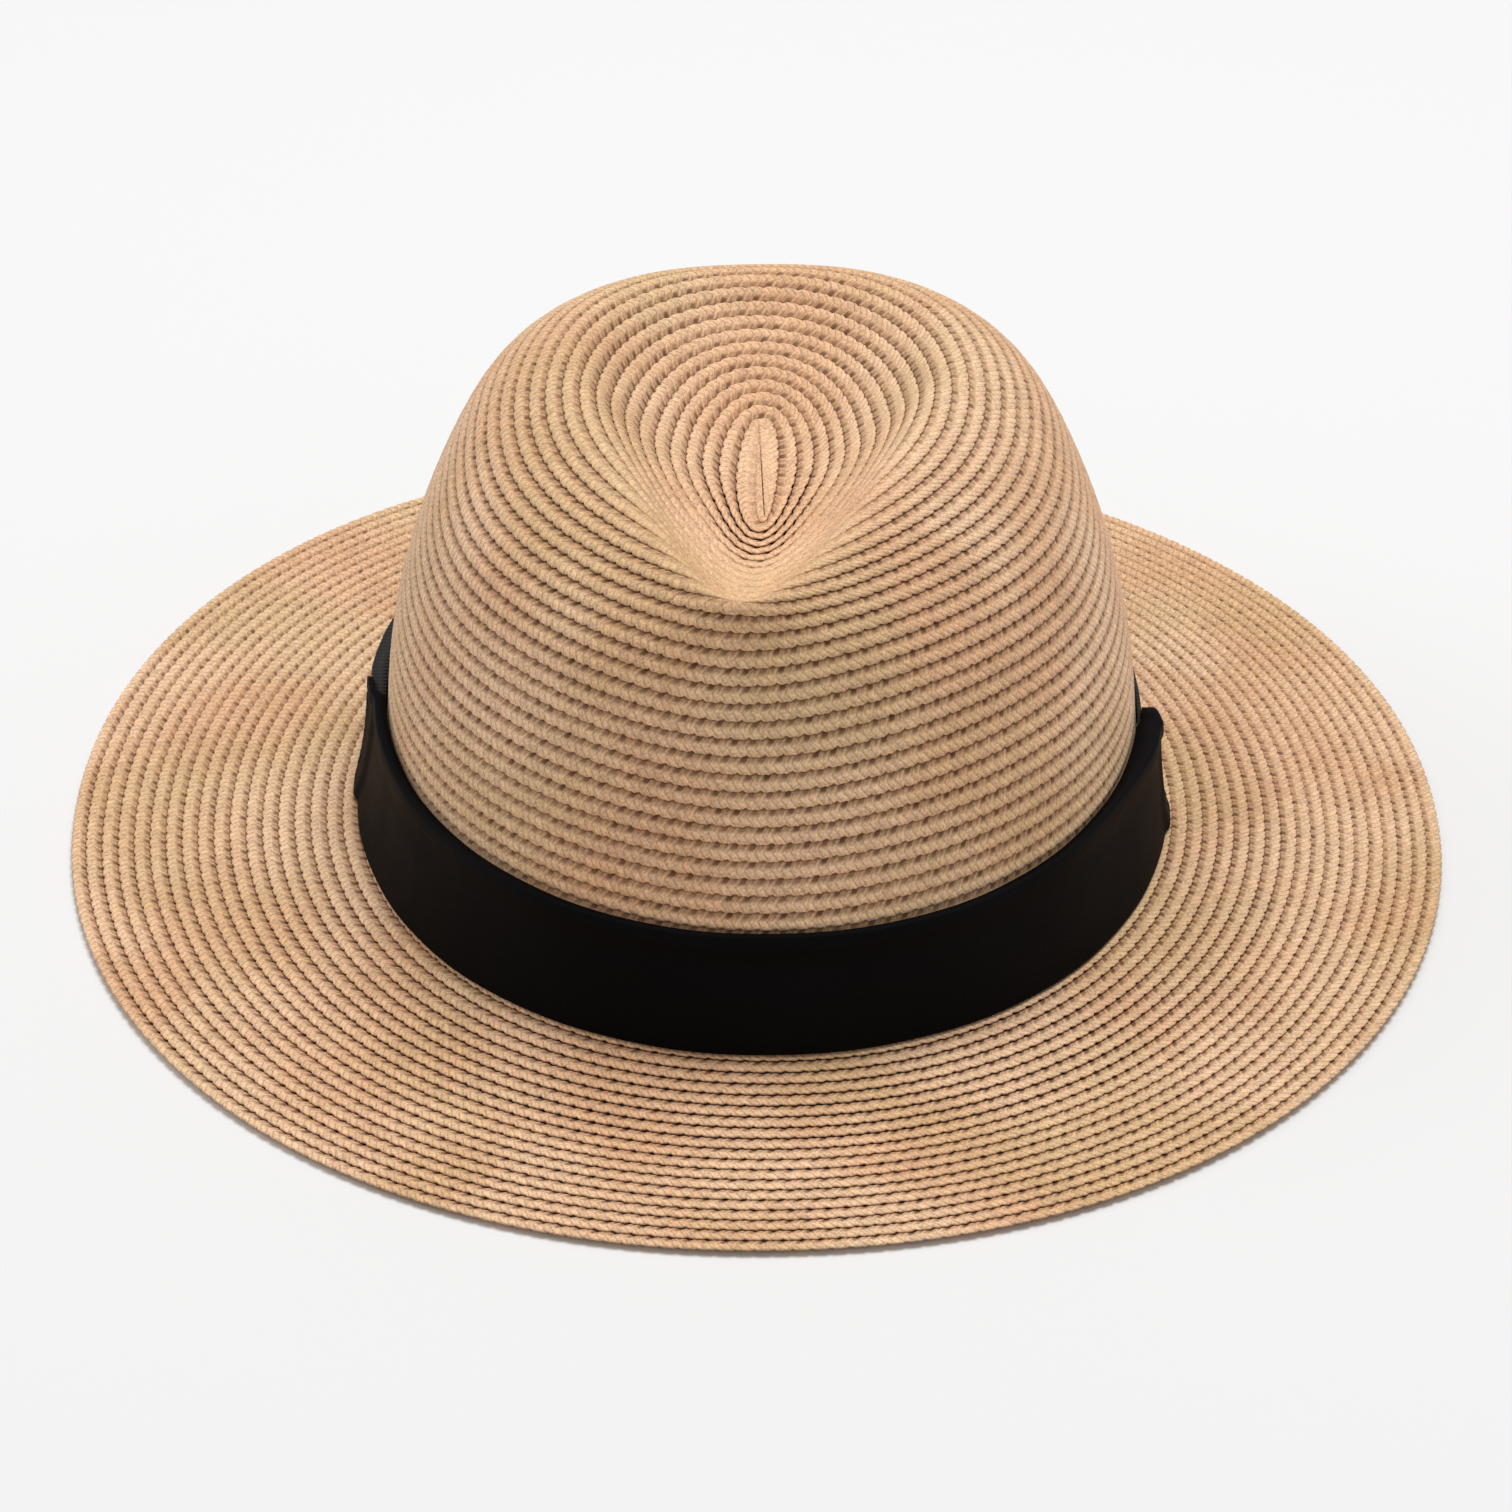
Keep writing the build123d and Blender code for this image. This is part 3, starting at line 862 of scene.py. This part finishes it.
# %% Twill finish and the sweatband
def twill_finish(name, first, second, wale=2.2, cross=1.6):
    twill = Finish(name, Sheen_Weight=0.25, Sheen_Roughness=0.6)
    along, up, _ = twill.pattern("cloth")
    line = twill.maths("SINE", along * wale * 3 + up * cross * 3)
    yarn = twill.maths("SINE", along * wale * 9 - up * cross * 2)
    worn = twill.smooth(twill.noise(35.0, 3), 0.4, 0.75)
    base = twill.mix(twill.smooth(line, -0.5, 0.8), first, second)
    base = twill.mix(worn * 0.3, base, colour(176, 148, 112))
    twill.set("Base Color", base)
    twill.set("Roughness", 0.78 + twill.smooth(line, -0.5, 0.8) * 0.12)
    twill.bump(line + yarn * 0.3, 0.5, 0.15 * MM)
    return twill.material


def flat_section(depth, thickness, low, high, corner=0.15):
    """Section of a flat strip with softened edges, the side that faces inwards first."""
    inner, middle = depth + thickness, (low + high) / 2
    return (
        (inner - corner, low),
        (inner, low + corner * 2),
        (inner, middle),
        (inner, high - corner * 2),
        (inner - corner, high),
        (depth + corner, high),
        (depth, high - corner * 2),
        (depth, middle),
        (depth, low + corner * 2),
        (depth + corner, low),
    )


BACK = math.pi / 2
JOIN = 0.001  # half of the opening between the sweatband's two ends, as an angle
SWEATBAND_DEPTH = 2.25
SWEATBAND = 1.2
band_low, band_high = (Vector(corner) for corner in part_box("sweatband"))
section = flat_section(SWEATBAND_DEPTH, SWEATBAND, band_low.z / MM, band_high.z / MM, 0.3)
start, end = BACK + JOIN, BACK + 2 * math.pi - JOIN
mesh, sweatband_length = wrap("sweatband_strip", section, start, end, spacing=1.5 * MM)
twill_material = twill_finish("beige twill", colour(196, 172, 138), colour(222, 202, 170))
sweatband = to_scene(
    "sweatband_strip", mesh, "hat", ["sweatband"], twill_material
)


# %% Tape and tabs at the back
def back_strip(name, node, thickness, material):
    """A tape or tab on the sweatband, over the stretch that its CAD node takes."""
    low, high = (Vector(corner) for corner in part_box(node))
    inside = HEAD_HALF_WIDTH - (SWEATBAND_DEPTH + SWEATBAND) * MM
    start, end = (math.acos((x - CROWN_OFFSET_X) / inside) for x in (high.x, low.x))
    face = SWEATBAND_DEPTH + SWEATBAND
    section = flat_section(face, thickness, low.z / MM, high.z / MM, 0.08)
    mesh, length = wrap(name, section, start, end, spacing=0.5 * MM)
    return to_scene(name, mesh, "hat", [node], material), length, high.z - low.z


tape_material = twill_finish("beige tape", colour(206, 186, 154), colour(228, 212, 184), 3.0, 0.2)
tab_material = twill_finish("white tab", colour(232, 230, 224), colour(244, 242, 238), 4.0, 0.0)
tape, tape_width, tape_height = back_strip(
    "join_tape", "sweatband_join_tape", 0.5, tape_material
)
size_tab, size_width, size_height = back_strip(
    "size_tab", "size_label", 0.3, tab_material
)
care_tab, care_width, care_height = back_strip(
    "care_tab", "care_label", 0.3, tab_material
)

# %% [markdown]
# The stitches are one thread that lies on the twill for 3 mm and dips through it for half a
# millimetre, as a lockstitch does. Modelling the dips costs little and keeps the thread one
# closed piece.

# %% Sew the sweatband in
STITCH = 3.5 * MM
DIP = 0.45  # how deep the thread goes into the cloth between two stitches, in millimetres
thread_low, thread_high = (Vector(corner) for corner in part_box("sweatband_sewing_thread"))
turned = np.linspace(BACK + 0.004, BACK + 2 * math.pi - 0.004, 1700)
seam_level = np.full_like(turned, (thread_low.z + thread_high.z) / 2)
line = on_wall(turned, seam_level, 0)
run = np.concatenate([[0], np.cumsum(np.linalg.norm(np.diff(line, axis=0), axis=-1))])
depth = (SWEATBAND_DEPTH + SWEATBAND + THREAD_PROUD - DIP * pulse(run / STITCH, 0.12)) * MM
seam = on_wall(turned, seam_level, depth)
mesh = thread_line("sweatband_stitches", seam, 0.2 * MM, run / MM)
tan_thread = thread_finish("tan thread", (colour(178, 144, 104), colour(216, 184, 142)))
to_scene("sweatband_stitches", mesh, "hat", ["sweatband_sewing_thread"], tan_thread)

# %% [markdown]


# %% [markdown]
# ## Floor, light and camera
# The hat lies on a pale table under soft light from all round, stronger from above and a little
# stronger from the wearer's right.

# %% Floor
bm = bmesh.new()
bmesh.ops.create_grid(bm, x_segments=1, y_segments=1, size=12)
floor_mesh = bpy.data.meshes.new("floor")
bm.to_mesh(floor_mesh)
bm.free()
floor = bpy.data.objects.new("floor", floor_mesh)
bpy.context.scene.collection.objects.link(floor)
paper = Finish("floor", Roughness=0.9, Base_Color=(0.8, 0.8, 0.8, 1), Specular_IOR_Level=0.1)
floor_mesh.materials.append(paper.material)


# %% Light and camera
def soft_light(name, place, power, size):
    """A round lamp that looks at the hat."""
    lamp = bpy.data.lights.new(name, "AREA")
    lamp.energy, lamp.size, lamp.shape = power, size, "DISK"
    light = bpy.data.objects.new(name, lamp)
    light.location = place
    light.rotation_euler = (-Vector(place)).to_track_quat("-Z", "Y").to_euler()
    bpy.context.scene.collection.objects.link(light)


world = bpy.data.worlds.new("studio")
bpy.context.scene.world = world
world.use_nodes = True
world.node_tree.nodes["Background"].inputs["Color"].default_value = (1, 1, 1, 1)
world.node_tree.nodes["Background"].inputs["Strength"].default_value = 0.42
soft_light("key", (0.3, 0.35, 2.2), 37, 1.5)
soft_light("fill", (-1.4, 0.2, 1.4), 6, 1.4)

camera_data = bpy.data.cameras.new("camera")
camera_data.lens = 123.2
camera = bpy.data.objects.new("camera", camera_data)
camera.location = (-0.0341, -0.9434, 0.5577)
aim = Vector((0, 0, 0.0127)) - camera.location
camera.rotation_euler = aim.to_track_quat("-Z", "Y").to_euler()
bpy.context.scene.collection.objects.link(camera)
bpy.context.scene.camera = camera
bpy.context.scene.view_settings.view_transform = "Standard"
